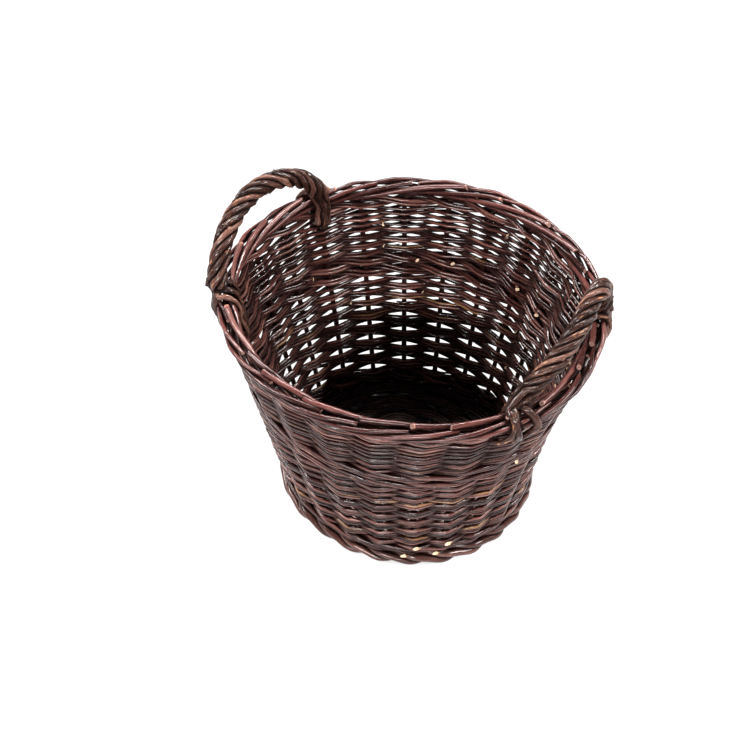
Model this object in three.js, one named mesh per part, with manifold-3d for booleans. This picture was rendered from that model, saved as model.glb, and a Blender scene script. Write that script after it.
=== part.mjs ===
// Round willow shopping basket with two roped ear handles, in millimetres.
// +Z is up, the origin is on the floor under the middle of the base, and the
// handles stand on the +X and -X sides.
import * as THREE from 'three';
import Module from 'manifold-3d';
import { mergeVertices } from 'three/addons/utils/BufferGeometryUtils.js';

const wasm = await Module();
wasm.setup();

// Main shape
const stakeDozens = 2;             // side stakes, counted in dozens
const wallFootRadius = 136;        // to the middle of the stakes at the floor
const wallTopRadius = 195;         // to the middle of the stakes below the border
const rimOval = 11;                // how much further out the rim is towards the handles
const wallTopHeight = 271;         // the stakes start to bend over here
const stakeButt = 6.2;             // rod diameter of a stake at its lower end
const stakeTip = 5.8;              // and along the border
const stakeFootGap = 3;            // the butts end this far above the floor

// Border
const borderOverhang = 4;          // from the wall's top out to the middle of the braid
const borderRise = 12.5;           // and up to it
const braidRadius = 7;             // from the middle of the braid to each rod
const borderStroke = 4;            // spaces that one rod runs along the border
const borderTurn = -1;             // the stakes are laid down clockwise
const bendStrokes = [0.12, 0.45];  // where a stake's bend into the border has its sections
const laidSections = 4;            // and how many more it has to its cut end

// Foot and wales, from the floor up
const footRod = 7.5;
const footFlat = 3;                // width of the flat worn under a foot rod
const bottomWaleRod = 6;
const middleWaleRod = 6;
const middleWaleHeight = 167.6;    // the band starts here
const middleWaleRounds = 2;
const stepUp = 3;                  // stakes over which a wale climbs a round
const fitchRod = 5.2;              // the twisted pair under the border
const footSpread = 2.6;            // room between crossing rods of the foot
const waleSpread = 1.6;            // and of a wale
const bandGap = 0.8;               // room between the woven bands

// Side weave
const packThickness = 4;           // a pack of three thin rods, lying flat
const packRow = 10;                // height of one row of packs
const fineThickness = 3.2;
const fineRow = 7.4;               // height of one row of fine rods
const rowGap = 0.6;                // room between neighbouring rows

// Base
const baseHeight = 18;             // to the middle of the base
const slathReach = 13;             // the sticks lie side by side up to here
const spokeStart = 30;             // from here they point at the axis
const slitStick = { width: 7, height: 9 };
const throughStick = { width: 6.4, height: 4.4 };
const slitAllowance = 0.4;         // room round the sticks in the slits
const baseThickness = 3.2;         // of the base weavers
const baseRow = 12.6;              // width of one row of the base weave
const stickEnd = 0.125;            // share of a stick's width that meets the slanting foot rods

// Handles
const handleStakes = 2;            // stakes from the middle to each leg
const handleRise = 75;             // above the middle of the border
const handleSkew = 0.2;            // the outer shoulder is the higher one
const handleLean = 3;              // the top leans in by this much
const bowRod = 9;
const ropePack = { thickness: 6.5, width: 11.8 };  // two rods side by side
const ropeStrands = 3;
const ropeTurns = 3;
const ropeSections = 9;            // in one turn of the rope
const bowSections = 14;            // along the arch of a bow
const outerLeg = 32;               // length of the bow's leg outside the wall
const innerLeg = 62;               // and of the one inside

const stakeSides = 5;
const bowSides = 6;
const clearance = 0.3;             // between pieces that bear on each other
const weldDistance = 1e-4;         // corners nearer than this are one

const stakeCount = 12 * stakeDozens;
const step = 2 * Math.PI / stakeCount;
const footReach = rodReach(footRod);
const footHeight = footRod + footSpread + 2 * footReach - footFlat / 2;
const lean = Math.atan2(wallTopRadius - wallFootRadius, wallTopHeight - footHeight);
const borderRadius = wallTopRadius + borderOverhang;
const borderHeight = wallTopHeight + borderRise;
const braidReach = braidRadius + stakeTip / 2;

const finishes = {
  stake: { color: 0x4a2620, roughness: 0.55 },
  weaver: { color: 0x38201c, roughness: 0.6 },
  wale: { color: 0x452822, roughness: 0.58 },
  foot: { color: 0x42251f, roughness: 0.6 },
  base: { color: 0x241614, roughness: 0.7 },
  rope: { color: 0x553225, roughness: 0.65 },
};

const basket = new THREE.Group();

function polar(angle, radius, height) {
  return new THREE.Vector3(radius * Math.cos(angle), radius * Math.sin(angle), height);
}

// Outlines of a rod's section. A pack of rods is a flat block, a woven rod
// stands on its edge with a round rod's area, and the foot is flat below.
function block(width, height) {
  return [[1, 1], [-1, 1], [-1, -1], [1, -1]].map(([x, y]) => [x * width / 2, y * height / 2]);
}

function rodReach(rod) {
  return rod * Math.sqrt(Math.PI / 8);
}

function lozenge(rod) {
  const reach = rodReach(rod);
  return [[reach, 0], [0, reach], [-reach, 0], [0, -reach]];
}

function footSection() {
  const edge = footFlat / 2;
  const lower = [[-edge, edge - footReach], [edge, edge - footReach]];
  return [...lozenge(footRod).slice(0, 3), ...lower];
}

function hexagon(width, height) {
  const upper = [[2, 0], [1, 2], [-1, 2], [-2, 0], [-1, -2], [1, -2]];
  return upper.map(([x, y]) => [x * width / 4, y * height / 4]);
}

function round(rod, sides) {
  const turns = Array.from({ length: sides }, (_, i) => 2 * Math.PI * i / sides);
  return turns.map((turn) => [Math.cos(turn) * rod / 2, Math.sin(turn) * rod / 2]);
}

// Skin over a row of section rings, closed into a hoop or capped at both ends.
function skin(rings, hoop) {
  const sides = rings[0].length;
  const count = rings.length;
  const positions = [];
  rings.forEach((ring) => ring.forEach((p) => positions.push(p.x, p.y, p.z)));
  const faces = [];
  const spans = hoop ? count : count - 1;
  for (let i = 0; i < spans; i++) {
    const near = i * sides;
    const far = ((i + 1) % count) * sides;
    for (let j = 0; j < sides; j++) {
      const k = (j + 1) % sides;
      faces.push([near + j, near + k, far + k], [near + j, far + k, far + j]);
    }
  }
  if (!hoop) {
    const last = (count - 1) * sides;
    for (let j = 1; j < sides - 1; j++) {
      faces.push([0, j + 1, j], [last, last + j, last + j + 1]);
    }
  }
  const at = (i) => new THREE.Vector3().fromArray(positions, 3 * i);
  let volume = 0;
  faces.forEach(([a, b, c]) => { volume += at(a).dot(at(b).cross(at(c))); });
  if (volume < 0) faces.forEach((face) => face.reverse());
  const geometry = new THREE.BufferGeometry();
  geometry.setAttribute('position', new THREE.Float32BufferAttribute(positions, 3));
  geometry.setIndex(faces.flat());
  return geometry;
}

// Rod whose sections stand in the upright planes through the basket's axis and
// lean with the wall where it leans.
function wovenRod(stations, corners, hoop) {
  const rings = stations.map(({ angle, radius, z, slope }) =>
    corners.map(([x, y]) => polar(angle, radius + x + slope * y, z + y)));
  return skin(rings, hoop);
}

// Rod along any path. Its sections keep the first direction given for their
// width, turned only as much as the path turns, or follow one for each point.
function bentRod(points, sections, directions) {
  const across = directions[0].clone();
  const rings = points.map((point, i) => {
    const before = points[Math.max(i - 1, 0)];
    const after = points[Math.min(i + 1, points.length - 1)];
    const incoming = point.clone().sub(before).normalize();
    const forward = after.clone().sub(point).normalize().add(incoming).normalize();
    if (directions[i]) across.copy(directions[i]);
    across.addScaledVector(forward, -across.dot(forward)).normalize();
    const along = new THREE.Vector3().crossVectors(forward, across);
    return sections[i].map(([x, y]) =>
      point.clone().addScaledVector(across, x).addScaledVector(along, y));
  });
  return skin(rings, false);
}

// The basket is round at its foot and a little oval at its rim. Upright
// stakes stay straight, and the border and the handles move with the rim.
function widened(geometry) {
  const position = geometry.attributes.position;
  for (let i = 0; i < position.count; i++) {
    const rise = (position.getZ(i) - footHeight) / (wallTopHeight - footHeight);
    const share = THREE.MathUtils.clamp(rise, 0, 1);
    const toAxis = Math.hypot(position.getX(i), position.getY(i));
    position.setX(i, position.getX(i) * (1 + rimOval * share / toAxis));
  }
  return geometry;
}

function add(name, geometry, finish) {
  geometry.computeVertexNormals();
  const material = new THREE.MeshStandardMaterial({ ...finishes[finish], metalness: 0 });
  const mesh = new THREE.Mesh(geometry, material);
  mesh.name = name;
  basket.add(mesh);
}

function toSolid(geometry) {
  const bare = geometry.clone();
  bare.deleteAttribute('normal');
  bare.deleteAttribute('uv');
  const welded = mergeVertices(bare, weldDistance);
  return new wasm.Manifold(new wasm.Mesh({
    numProp: 3,
    vertProperties: new Float32Array(welded.attributes.position.array),
    triVerts: new Uint32Array(welded.index.array),
  }));
}

function toGeometry(solid) {
  const mesh = solid.getMesh();
  const geometry = new THREE.BufferGeometry();
  geometry.setAttribute('position', new THREE.BufferAttribute(mesh.vertProperties, 3));
  geometry.setIndex(new THREE.BufferAttribute(mesh.triVerts, 1));
  return geometry;
}

// Middle of the wall at a height: upright in the foot, then leaning out.
function wallRadius(z) {
  return wallFootRadius + Math.tan(lean) * Math.max(z - footHeight, 0);
}

function wallSlope(z) {
  return z > footHeight ? Math.tan(lean) : 0;
}

function stakeDiameter(z) {
  const share = THREE.MathUtils.clamp(z / wallTopHeight, 0, 1);
  return THREE.MathUtils.lerp(stakeButt, stakeTip, share);
}

// From the middle of a stake to the middle of a weaver that bears on it.
function strokeOffset(z, thickness) {
  return (stakeDiameter(z) / 2 + clearance + thickness / 2) / Math.cos(lean);
}

// Point on the stroke that a stake's upper end makes along the border: it
// starts under the braid, then goes round its inside and its top and ends at
// its outside, where the rod is cut.
function borderPoint(angle, stroke) {
  const turn = 2 * Math.PI * stroke / (borderStroke + 1);
  return polar(
    angle + borderTurn * step * stroke,
    borderRadius - braidRadius * Math.sin(turn),
    borderHeight - braidRadius * Math.cos(turn),
  );
}

function addStakes() {
  const upright = [stakeFootGap, footHeight, wallTopHeight];
  const laid = [...bendStrokes];
  for (let i = 0; i <= laidSections; i++) laid.push(1 + (borderStroke - 1) * i / laidSections);
  for (let k = 0; k < stakeCount; k++) {
    const angle = k * step;
    const points = upright.map((z) => polar(angle, wallRadius(z), z));
    laid.forEach((stroke) => points.push(borderPoint(angle, stroke)));
    const sections = points.map((p) => round(stakeDiameter(p.z), stakeSides));
    const stake = bentRod(points, sections, [polar(angle, 1, 0)]);
    add(`stake_${String(k + 1).padStart(2, '0')}`, widened(stake), 'stake');
  }
}

// Height of one round of rods that cross each other once between two stakes.
function roundHeight(rod) {
  return rod + waleSpread + 2 * rodReach(rod);
}

// Rounds of twisted rods. The path gives a rod's place beside the stakes and
// between them in turn, outwards and upwards. The rods follow it one stake
// apart. More than one round is an open band that steps up once a round.
function addBand(names, band) {
  const perRound = 2 * stakeCount;
  const climb = 2 * stepUp;
  const hoop = band.rounds === 1;
  const count = hoop ? perRound : perRound * band.rounds - climb + 1;
  names.forEach((name, index) => {
    const stations = [];
    for (let i = 0; i < count; i++) {
      const done = Math.floor(i / perRound);
      const rising = Math.max((i % perRound) - (perRound - climb), 0) / climb;
      const middle = band.bottom + band.height * (0.5 + (hoop ? 0 : done + rising));
      const [out, up] = band.path[(i + 2 * index) % band.path.length];
      const slope = wallSlope(middle);
      const radius = wallRadius(middle) + slope * up + out;
      stations.push({ angle: i * step / 2, radius, z: middle + up, slope });
    }
    add(name, widened(wovenRod(stations, band.section, hoop)), band.finish);
  });
}

// Three-rod wale: each rod passes in front of two stakes and behind the next.
// It comes out above the rod before it and goes in below the one after it.
function walePath(offset, rise) {
  return [[-offset, 0], [0, rise], [offset, rise], [offset, 0], [offset, -rise], [0, -rise]];
}

function addFoot() {
  const rise = (footRod + footSpread) / 2;
  addBand(['foot_rod_1', 'foot_rod_2', 'foot_rod_3'], {
    bottom: -footFlat / 2,
    height: footHeight + footFlat / 2,
    path: walePath(strokeOffset(0, 2 * footReach), rise),
    section: footSection(),
    rounds: 1,
    finish: 'foot',
  });
}

function addWale(name, rod, bottom, rounds) {
  const offset = strokeOffset(bottom, 2 * rodReach(rod));
  addBand([1, 2, 3].map((i) => `${name}_${i}`), {
    bottom,
    height: roundHeight(rod),
    path: walePath(offset, (rod + waleSpread) / 2),
    section: lozenge(rod),
    rounds,
    finish: 'wale',
  });
}

// Fitch: two rods twist round each other between the stakes.
function addFitch(name, rod, bottom) {
  const offset = strokeOffset(bottom, 2 * rodReach(rod));
  const rise = (rod + waleSpread) / 2;
  addBand([1, 2].map((i) => `${name}_${i}`), {
    bottom,
    height: roundHeight(rod),
    path: [[-offset, 0], [0, rise], [offset, 0], [0, -rise]],
    section: lozenge(rod),
    rounds: 1,
    finish: 'wale',
  });
}

// Two weavers chase each other up the wall from opposite sides. Each goes in
// front of one stake and behind the next, and the other the other way.
function addChase(name, bottom, top, row, thickness, finish) {
  const stations = Math.floor(((top - bottom) / row - 1) / 2 * stakeCount);
  ['a', 'b'].forEach((letter, index) => {
    const start = index * stakeCount / 2;
    const path = [];
    for (let i = 0; i <= stations; i++) {
      const z = bottom + row / 2 + 2 * row * i / stakeCount;
      const side = (start + i + index) % 2 ? 1 : -1;
      const radius = wallRadius(z) + side * strokeOffset(z, thickness);
      path.push({ angle: (start + i) * step, radius, z, slope: wallSlope(z) });
    }
    const weaver = wovenRod(path, block(thickness, row - rowGap), false);
    add(`${name}_${letter}`, widened(weaver), finish);
  });
}

// The base has one spoke for every two stakes, and each stick makes two of
// them. Half of the sticks are slit, and the other half runs through the slits.
const spokeCount = stakeCount / 2;
const spokeStep = 2 * Math.PI / spokeCount;
const slitCount = Math.ceil(spokeCount / 4);
const throughCount = spokeCount / 2 - slitCount;

function spokeStick(spoke) {
  return spoke % (spokeCount / 2) < slitCount ? slitStick : throughStick;
}

function addStickGroup(name, count, size, first, cut) {
  const slant = strokeOffset(0, 2 * footReach) / (wallFootRadius * step / 2);
  const reach = wallFootRadius - footReach - slant * size.width * stickEnd - clearance;
  const middle = step / 2 + (first + (count - 1) / 2) * spokeStep;
  const corners = hexagon(size.width, size.height);
  for (let i = 0; i < count; i++) {
    const fan = i - (count - 1) / 2;
    const side = fan * (size.width + slitAllowance);
    const path = [
      polar(Math.PI - fan * spokeStep, reach, 0), polar(Math.PI - fan * spokeStep, spokeStart, 0),
      new THREE.Vector3(-slathReach, side, 0), new THREE.Vector3(slathReach, side, 0),
      polar(fan * spokeStep, spokeStart, 0), polar(fan * spokeStep, reach, 0),
    ];
    const rings = path.map((point, j) => {
      const before = path[Math.max(j - 1, 0)];
      const after = path[Math.min(j + 1, path.length - 1)];
      const forward = after.clone().sub(before).normalize();
      const across = new THREE.Vector3(-forward.y, forward.x, 0);
      return corners.map(([x, y]) => point.clone().addScaledVector(across, x).setZ(y));
    });
    let stick = skin(rings, false);
    if (cut) stick = toGeometry(toSolid(stick).subtract(cut));
    add(`${name}_${i + 1}`, stick.rotateZ(middle).translate(0, 0, baseHeight), 'base');
  }
}

function addBaseSticks() {
  const bundle = throughCount * (throughStick.width + slitAllowance) + slitAllowance;
  const opening = throughStick.height + 2 * slitAllowance;
  const slit = toSolid(new THREE.BoxGeometry(bundle, 2 * spokeStart, opening));
  addStickGroup('slit_stick', slitCount, slitStick, 0, slit);
  addStickGroup('through_stick', throughCount, throughStick, slitCount, null);
}

// The base weavers chase each other outwards, over one spoke and under the
// next, flat on each spoke for the width of its stick.
function addBaseWeave() {
  const edge = wallFootRadius - strokeOffset(0, 2 * footReach) - footReach - clearance;
  const stations = Math.floor(((edge - spokeStart) / baseRow - 1) / 2 * spokeCount);
  ['a', 'b'].forEach((letter, index) => {
    const start = index * spokeCount / 2;
    const path = [];
    for (let i = 0; i <= stations; i++) {
      const radius = spokeStart + baseRow / 2 + 2 * baseRow * i / spokeCount;
      const stick = spokeStick(start + i);
      const lift = stick.height / 2 + clearance + baseThickness / 2;
      const z = baseHeight + ((start + i + index) % 2 ? lift : -lift);
      const flat = stick.width / 2 / radius;
      const angle = step / 2 + (start + i) * spokeStep;
      [angle - flat, angle + flat].forEach((a) => path.push({ angle: a, radius, z, slope: 0 }));
    }
    const section = block(baseRow - rowGap, baseThickness);
    add(`base_weaver_${letter}`, wovenRod(path, section, false), 'base');
  });
}

// Middle line of a bow: down the outside of the wall at one end, down its
// inside at the other, with an arch between them that starts upright.
function bowPath(side, sections) {
  const middle = side > 0 ? 0 : Math.PI;
  const spread = handleStakes * step;
  const weaver = Math.max(2 * rodReach(fitchRod), fineThickness);
  const bow = clearance + bowRod / 2;
  const againstWall = (z, way) =>
    wallRadius(z) + way * (strokeOffset(z, weaver) + (weaver / 2 + bow) / Math.cos(lean));
  const outer = borderRadius + braidReach + bow;
  const inner = borderRadius - braidReach - bow;
  const underBorder = borderHeight - braidReach;
  const outside = [
    [borderHeight - outerLeg, againstWall(borderHeight - outerLeg, 1)],
    [underBorder - bowRod / 2, againstWall(underBorder - bowRod / 2, 1)],
    [underBorder, outer],
  ];
  const inside = [
    [underBorder, Math.min(inner, againstWall(underBorder, -1))],
    [borderHeight - innerLeg, againstWall(borderHeight - innerLeg, -1)],
  ];
  const arch = Array.from({ length: sections + 1 }, (_, i) => {
    const turn = Math.PI * i / sections;
    const share = (1 + Math.cos(turn)) / 2;
    const rise = handleRise * Math.sin(turn) * (1 + handleSkew * Math.cos(turn));
    const radius = inner + (outer - inner) * share - handleLean * Math.sin(turn);
    return polar(middle + spread * Math.cos(turn), radius, borderHeight + rise);
  });
  return [
    ...outside.map(([z, radius]) => polar(middle + spread, radius, z)),
    ...arch,
    ...inside.map(([z, radius]) => polar(middle - spread, radius, z)),
  ];
}

// The rope packs wind round the bow wherever it stands clear of the border.
function addHandle(name, side) {
  const points = bowPath(side, bowSections);
  const outward = [polar(side > 0 ? 0 : Math.PI, 1, 0)];
  const bow = bentRod(points, points.map(() => round(bowRod, bowSides)), outward);
  add(`${name}_bow`, widened(bow), 'rope');
  const stations = Math.round(ropeSections * ropeTurns);
  const middle = bowRod / 2 + clearance + ropePack.thickness / 2;
  const winding = middle / Math.cos(Math.PI / ropeSections);
  const clear = borderHeight + braidReach + ropePack.width / 2 + clearance;
  const finer = ropeSections * bowSections;
  const curve = new THREE.CatmullRomCurve3(bowPath(side, finer).filter((p) => p.z > clear));
  const frames = curve.computeFrenetFrames(stations, false);
  const section = block(ropePack.thickness, ropePack.width);
  for (let strand = 0; strand < ropeStrands; strand++) {
    const directions = [];
    for (let i = 0; i <= stations; i++) {
      const turn = 2 * Math.PI * (i / ropeSections + strand / ropeStrands);
      directions.push(frames.normals[i].clone().multiplyScalar(Math.cos(turn))
        .addScaledVector(frames.binormals[i], Math.sin(turn)));
    }
    const wound = directions.map((direction, i) =>
      curve.getPointAt(i / stations).addScaledVector(direction, winding));
    const rod = bentRod(wound, wound.map(() => section), directions);
    add(`${name}_rope_${strand + 1}`, widened(rod), 'rope');
  }
}

const bottomWaleHeight = footHeight + bandGap;
const packBottom = bottomWaleHeight + roundHeight(bottomWaleRod) + bandGap;
const packTop = middleWaleHeight - bandGap;
const fineBottom = middleWaleHeight + middleWaleRounds * roundHeight(middleWaleRod) + bandGap;
const fitchHeight = wallTopHeight - roundHeight(fitchRod);

addBaseSticks();
addBaseWeave();
addStakes();
addFoot();
addWale('bottom_wale', bottomWaleRod, bottomWaleHeight, 1);
addChase('pack_weaver', packBottom, packTop, packRow, packThickness, 'weaver');
addWale('middle_wale', middleWaleRod, middleWaleHeight, middleWaleRounds);
addChase('fine_weaver', fineBottom, fitchHeight - bandGap, fineRow, fineThickness, 'weaver');
addFitch('top_fitch', fitchRod, fitchHeight);
addHandle('right_handle', 1);
addHandle('left_handle', -1);

export default basket;
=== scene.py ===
import math
import bpy
import numpy as np
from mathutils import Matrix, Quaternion, Vector


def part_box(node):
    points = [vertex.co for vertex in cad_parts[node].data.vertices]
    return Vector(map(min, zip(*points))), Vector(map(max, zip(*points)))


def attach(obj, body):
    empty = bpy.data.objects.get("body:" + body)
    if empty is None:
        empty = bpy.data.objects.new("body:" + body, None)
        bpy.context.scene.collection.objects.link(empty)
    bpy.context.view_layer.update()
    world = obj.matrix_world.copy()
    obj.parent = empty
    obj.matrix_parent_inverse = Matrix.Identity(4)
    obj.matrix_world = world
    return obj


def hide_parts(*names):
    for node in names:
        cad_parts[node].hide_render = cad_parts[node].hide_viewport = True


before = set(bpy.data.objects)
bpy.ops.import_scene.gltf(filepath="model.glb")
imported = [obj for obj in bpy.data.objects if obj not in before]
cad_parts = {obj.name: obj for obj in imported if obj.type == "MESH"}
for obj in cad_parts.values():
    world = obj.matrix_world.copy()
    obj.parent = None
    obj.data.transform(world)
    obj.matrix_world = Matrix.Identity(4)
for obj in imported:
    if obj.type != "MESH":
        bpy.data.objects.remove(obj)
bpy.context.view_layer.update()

# Round willow basket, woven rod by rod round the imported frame. Rod sizes and
# places are in millimetres, and a piece is scaled to metres when its mesh is made.
mm = 0.001
wall = dict(stakes=24, footRadius=136.0, topRadius=195.0, topHeight=271.0)
step = 2 * math.pi / wall["stakes"]  # from one stake to the next


def heights(node):  # lowest and highest point of a node of the frame
    low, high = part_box(node)
    return low.z / mm, high.z / mm


footHeight = heights("foot_rod_1")[1]
flare = (wall["topRadius"] - wall["footRadius"]) / (wall["topHeight"] - footHeight)
wallLean = math.cos(math.atan(flare))  # a distance square to the wall is this share of a level one


def wallRadius(z):  # to the middle of the stakes
    return wall["footRadius"] + flare * np.maximum(z - footHeight, 0)


# The basket is a little oval: each side is wider by so much at the foot and at the rim, and the
# higher late is, the nearer to the rim that comes. Closer to the axis than fade it dies away.
oval = dict(right=dict(foot=-2.0, rim=12.0, late=3.5), left=dict(foot=9.0, rim=13.0, late=0.7), fade=100.0)
# It isn't quite round either: what the rim and the foot are out by, at these angles
uneven = dict(angles=(5, 20, 40, 60, 90, 105, 125, 145, 165, 205, 216, 230, 253, 298, 330, 350),
              rimOut=(-2, -1, -2, -1, 0, 0, 0, 0, 0, 4, 0, 1.5, 0.5, 0, 3, 3),
              rimUp=(0, 0, 0, 0, 1.5, 0.5, -2.5, -2, 0, 0, 0, 0, 0, 0, 0, 0),
              footOut=(2, 2.5, 1, 0, -2, -1, 0.5, 2, 3, 2.5, 1.5, 0, -2.5, 1, 3, 2.5))


def widened(points):  # gives the round basket that is woven below its real outline
    share = np.clip((points[:, 2] - footHeight) / (wall["topHeight"] - footHeight), 0, 1)
    angle = np.degrees(np.arctan2(points[:, 1], points[:, 0])) % 360
    rimOut, rimUp, footOut = (np.interp(angle, uneven["angles"], uneven[key], period=360)
                              for key in ("rimOut", "rimUp", "footOut"))
    out = (rimOut * share + footOut * (1 - share) ** 2) / wall["footRadius"]
    points[:, 2] += rimUp * share ** 3
    right, left = (side["foot"] + (side["rim"] - side["foot"]) * share ** side["late"]
                   for side in (oval["right"], oval["left"]))
    toAxis = np.maximum(np.hypot(points[:, 0], points[:, 1]), oval["fade"])
    flat = points[:, :2] * np.minimum(out, out * wall["footRadius"] / toAxis)[:, None]
    points[:, 0] += np.where(points[:, 0] > 0, right, left) * points[:, 0] / toAxis
    points[:, :2] += flat
    return points


def polar(angle, radius, z):  # points from their angle, distance from the axis and height
    angle, radius, z = np.broadcast_arrays(angle, radius, z)
    return np.stack([radius * np.cos(angle), radius * np.sin(angle), z], axis=-1)


def drift(place, seed, length):  # a slow wander between about -1 and 1
    starts = np.random.default_rng(seed).uniform(0, 2 * math.pi, 3)
    place = np.asarray(place, float)
    waves = zip((1, 0.62, 0.37), (0.5, 0.32, 0.18), starts)  # how long, how large, and where it starts
    return sum(size * np.sin(2 * math.pi * place / (length * k) + start) for k, size, start in waves)


def along(points):  # distance from the start of a path to each of its points
    return np.concatenate([[0], np.cumsum(np.linalg.norm(np.diff(points, axis=0), axis=1))])


def spline(keys, perSpan=12, closed=False):  # smooth path through every key
    keys = np.asarray(keys, float)
    count = len(keys)
    spans = count if closed else count - 1
    place = np.arange(spans * perSpan + (0 if closed else 1)) / perSpan
    i = np.minimum(np.floor(place).astype(int), spans - 1)
    t = (place - i)[:, None]
    ends = (lambda k: k % count) if closed else (lambda k: np.clip(k, 0, count - 1))
    a, b, c, d = (keys[ends(i + k)] for k in (-1, 0, 1, 2))
    return 0.5 * (2 * b + (c - a) * t + (2 * a - 5 * b + 4 * c - d) * t ** 2
                  + (3 * b - a - 3 * c + d) * t ** 3)


def evenly(points, spacing):  # the same path with points at even distances
    way = along(points)
    count = max(int(round(way[-1] / spacing)), 2)
    marks = np.linspace(0, way[-1], count + 1)
    return np.stack([np.interp(marks, way, points[:, k]) for k in range(3)], axis=-1)


# A rod's radius, shade and tint are numbers or one for each point. Cut is the slant of its cut ends,
# which look towards facing if that is given. Ridge is how far the bark has split, and bud how far a
# bud stands out.
def rod(path, radius, seed, shade=0.0, closed=False, cut=(0.0, 0.0), ridge=0.0, tint=0.0, bud=0.16,
        facing=None):
    rng = np.random.default_rng(seed)
    count = len(path)
    return dict(path=np.asarray(path, float), radius=np.broadcast_to(radius, count),
                tone=np.broadcast_to(rng.uniform() + shade, count), start=rng.uniform(0, 4000),
                tint=np.broadcast_to(tint, count), closed=closed, cut=cut, ridge=ridge, bud=bud,
                facing=facing, seed=seed)


def turningFrames(path, closed):  # two directions across the path, with no twist of their own
    after = np.roll(path, -1, axis=0) - path
    before = path - np.roll(path, 1, axis=0)
    if not closed:
        after[-1], before[0] = before[-1], after[0]
    unit = lambda v: v / np.maximum(np.linalg.norm(v, axis=-1, keepdims=True), 1e-9)
    forward = unit(unit(after) + unit(before))
    across = np.zeros_like(path)
    side = np.cross(forward[0], (0.3, 0.2, 1.0))  # a direction that no rod sets out in
    for i, ahead in enumerate(forward):
        side = side - ahead * side.dot(ahead)
        side /= math.sqrt(side.dot(side))
        across[i] = side
    up = np.cross(forward, across)
    if closed:  # the twist left over where the path meets its start is spread all along it
        side = side - forward[0] * side.dot(forward[0])
        left = math.atan2(side.dot(up[0]), side.dot(across[0]))
        turn = (-left * np.arange(len(path)) / len(path))[:, None]
        across, up = across * np.cos(turn) + up * np.sin(turn), up * np.cos(turn) - across * np.sin(turn)
    return forward, across, up


# How much willow there is round each place, in a grid of small cubes, which paints shade into the
# hollows between rods. Spacing is the step along a rod, and above is how far over the bark the
# crowd is felt.
crowd = dict(cube=3.0, low=np.array([-246.0, -246.0, -15.0]), shape=(164, 164, 136), spacing=2.0,
             above=4.0)


def fillCrowd(rods):
    amount = np.zeros(crowd["shape"])
    for item in rods:
        path = evenly(item["path"], crowd["spacing"])
        marks = np.linspace(0, 1, len(item["radius"]))
        radius = np.interp(np.linspace(0, 1, len(path)), marks, item["radius"])
        cells = np.floor((path - crowd["low"]) / crowd["cube"]).astype(int)
        willow = math.pi * radius ** 2 * crowd["spacing"]
        np.add.at(amount, tuple(cells.T), willow / crowd["cube"] ** 3)
    for axis in range(3):
        amount = (np.roll(amount, 1, axis) + amount + np.roll(amount, -1, axis)) / 3
    return amount


def crowdAt(amount, points):  # blended between the middles of the eight nearest cubes
    place = (points - crowd["low"]) / crowd["cube"] - 0.5
    cell = np.floor(place).astype(int)
    rest = place - cell
    total = np.zeros(len(points))
    for corner in np.ndindex(2, 2, 2):
        share = np.prod(np.where(corner, rest, 1 - rest), axis=1)
        total += share * amount[tuple((cell + corner).T)]
    return total


# How a rod departs from a plain tube: sizes are shares of its radius, and lengths are along it
growth = dict(swell=0.035, swellLength=90, flat=0.03, flatLength=160,
              splits=(3, 5, 7), splitLean=0.05, splitTurn=1.5, splitLength=22, splitSwell=0.8,
              splitSwellLength=24, mostBuds=40, budGap=(45, 120), budLength=1.8, knot=0.05)


def rodSection(item, way, turn):  # share of its radius that a rod has at each point, all round
    rng = np.random.default_rng(item["seed"] + 7)
    wander = lambda k, length: drift(way, item["seed"] + k, length)[:, None]
    section = np.ones((len(way), len(turn))) * (1 + growth["swell"] * wander(1, growth["swellLength"]))
    section += growth["flat"] * np.cos(2 * turn + wander(2, growth["flatLength"]) * 2)
    if item["ridge"]:  # bark that has split along a twisted rod
        section += item["ridge"] * growth["splitSwell"] * wander(9, growth["splitSwellLength"])
        for k in growth["splits"]:
            lean = turn * k + way[:, None] * growth["splitLean"] * rng.uniform(-1, 1) + rng.uniform(0, 6)
            wave = np.cos(lean + growth["splitTurn"] * wander(k, growth["splitLength"]))
            section += item["ridge"] / k ** 0.5 * wave
    buds = np.cumsum(rng.uniform(*growth["budGap"], growth["mostBuds"]))
    for place in buds[buds < way[-1]]:  # a willow rod has a small knot at each bud
        near = np.exp(-((way - place) / growth["budLength"]) ** 2)[:, None]
        bud = item["bud"] * np.maximum(np.cos(turn - rng.uniform(0, 6)), 0) ** 2
        section += near * (growth["knot"] + bud)
    if item["closed"]:
        section[-1] = section[0]
    return section


def addRows(mesh, rows):  # appends what each new point has to the lists of a mesh
    for key, values in rows.items():
        mesh[key].append(values)
    mesh["count"] += len(rows["points"])


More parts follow.
